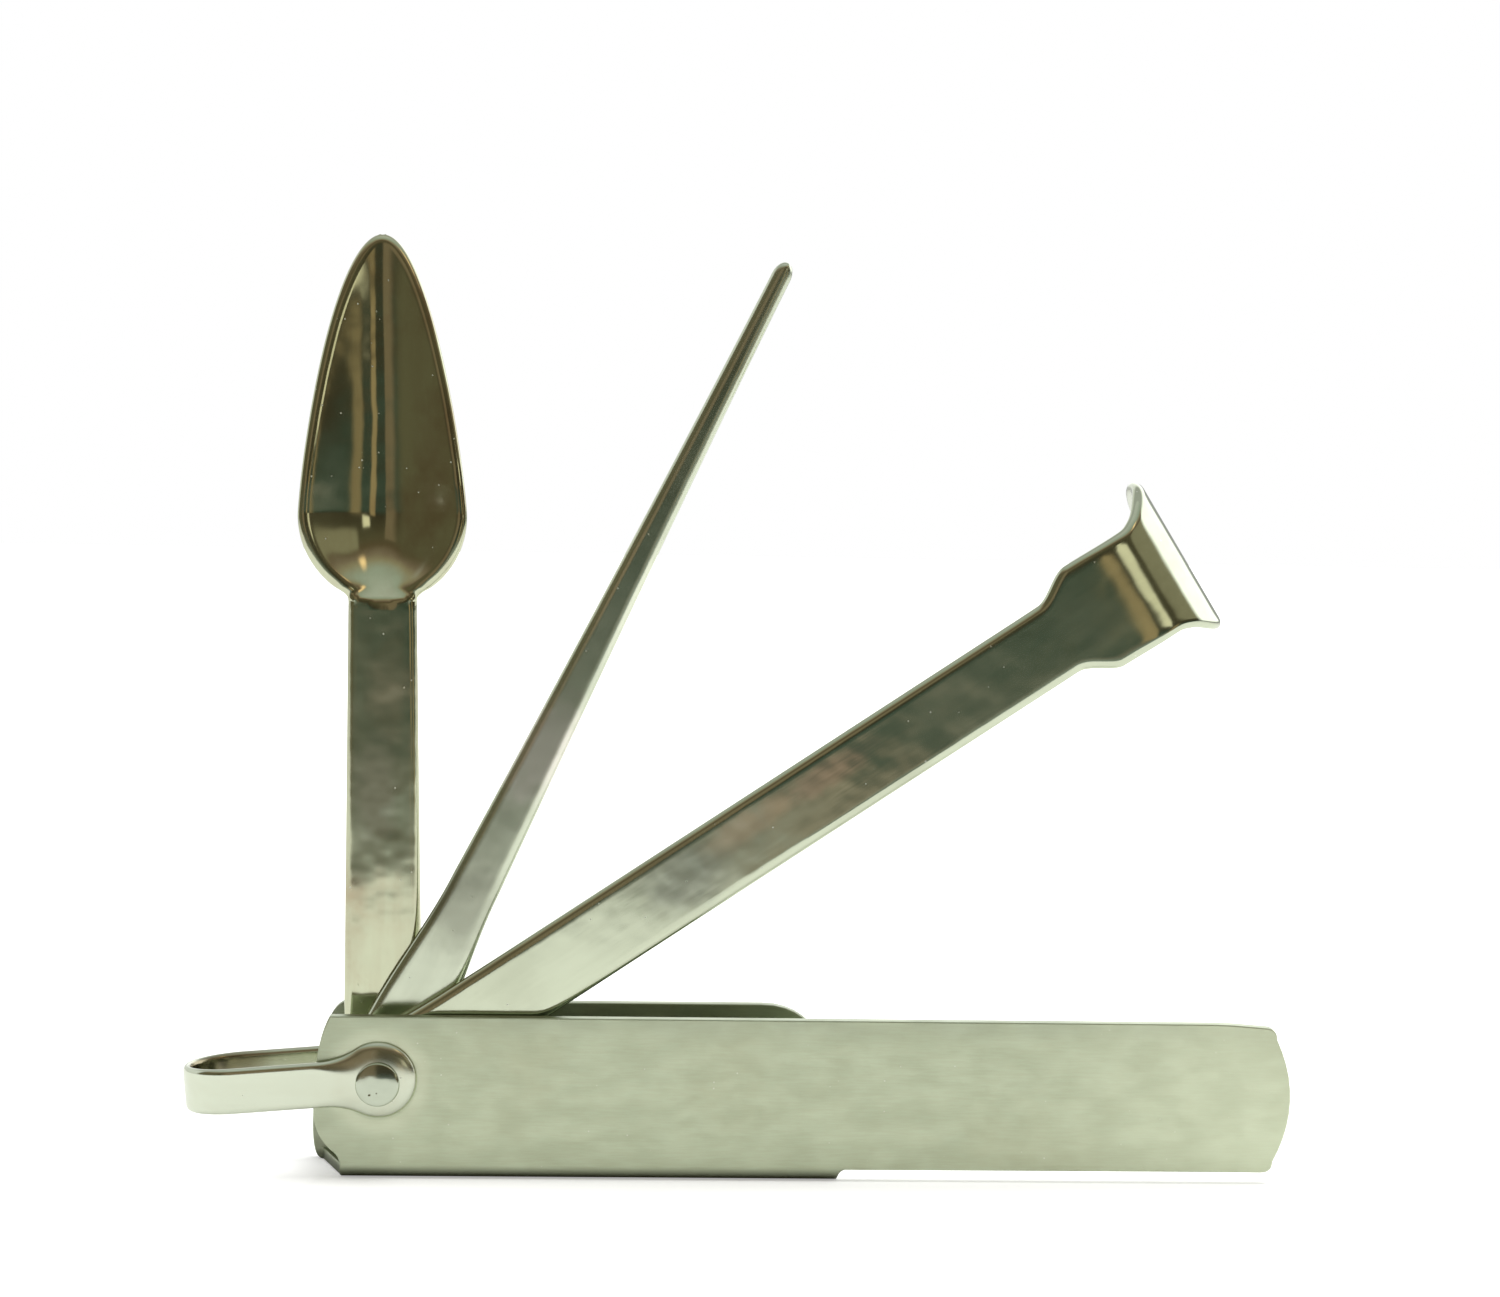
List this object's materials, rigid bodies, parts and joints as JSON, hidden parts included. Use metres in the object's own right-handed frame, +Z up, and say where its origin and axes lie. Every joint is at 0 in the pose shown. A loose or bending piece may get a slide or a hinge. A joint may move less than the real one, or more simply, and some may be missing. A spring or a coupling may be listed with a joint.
{
  "type": "folding pipe tool",
  "caption": "Folding pocket tool for pipe smokers: tamper with a round foot, straight pick and pointed spoon turn on one rivet in a narrow folded sheet handle with a loop shackle.",
  "frame": {"origin": "on the flat underside of the handle's web, straight below the rivet", "axes": "+X along the handle to its free end, +Y from the long front plate to the short rear plate, +Z up out of the open side of the handle"},
  "size_m": [0.0854, 0.0145, 0.0717],
  "materials": {
    "sheet_steel": "satin sheet with a fine grain along the handle and light handling marks",
    "bright_steel": "bright polished blades, nearly mirror, with rounded edges and faint hairlines",
    "strap_steel": "bright polished strap with small tumbling marks",
    "rivet_steel": "hammered rivet head with small dents",
    "washer_steel": "plain thin washer, dulled between the moving faces"
  },
  "bodies": {
    "frame": {"handle": "sheet_steel", "rivet": "rivet_steel", "front_washer": "washer_steel", "tamper_pick_washer": "washer_steel", "pick_spoon_washer": "washer_steel", "rear_washer": "washer_steel"},
    "tamper_blade": {"tamper": "bright_steel"},
    "pick_blade": {"pick": "bright_steel"},
    "spoon_blade": {"spoon": "bright_steel"},
    "ring_shackle": {"shackle": "strap_steel"}
  },
  "joints": [
    {"name": "tamper_pivot", "type": "hinge", "parent": "frame", "child": "tamper_blade", "pos_m": [0, 0, 0.00755], "axis": [0, -1, 0], "range_deg": [-34.15, 121.35]},
    {"name": "pick_pivot", "type": "hinge", "parent": "frame", "child": "pick_blade", "pos_m": [0, 0, 0.00755], "axis": [0, -1, 0], "range_deg": [-64.36, 91.14]},
    {"name": "spoon_pivot", "type": "hinge", "parent": "frame", "child": "spoon_blade", "pos_m": [0, 0, 0.00755], "axis": [0, -1, 0], "range_deg": [-90.5, 65]},
    {"name": "shackle_pivot", "type": "hinge", "parent": "frame", "child": "ring_shackle", "pos_m": [0, 0, 0.00755], "axis": [0, -1, 0], "range_deg": [0, 128]}
  ]
}
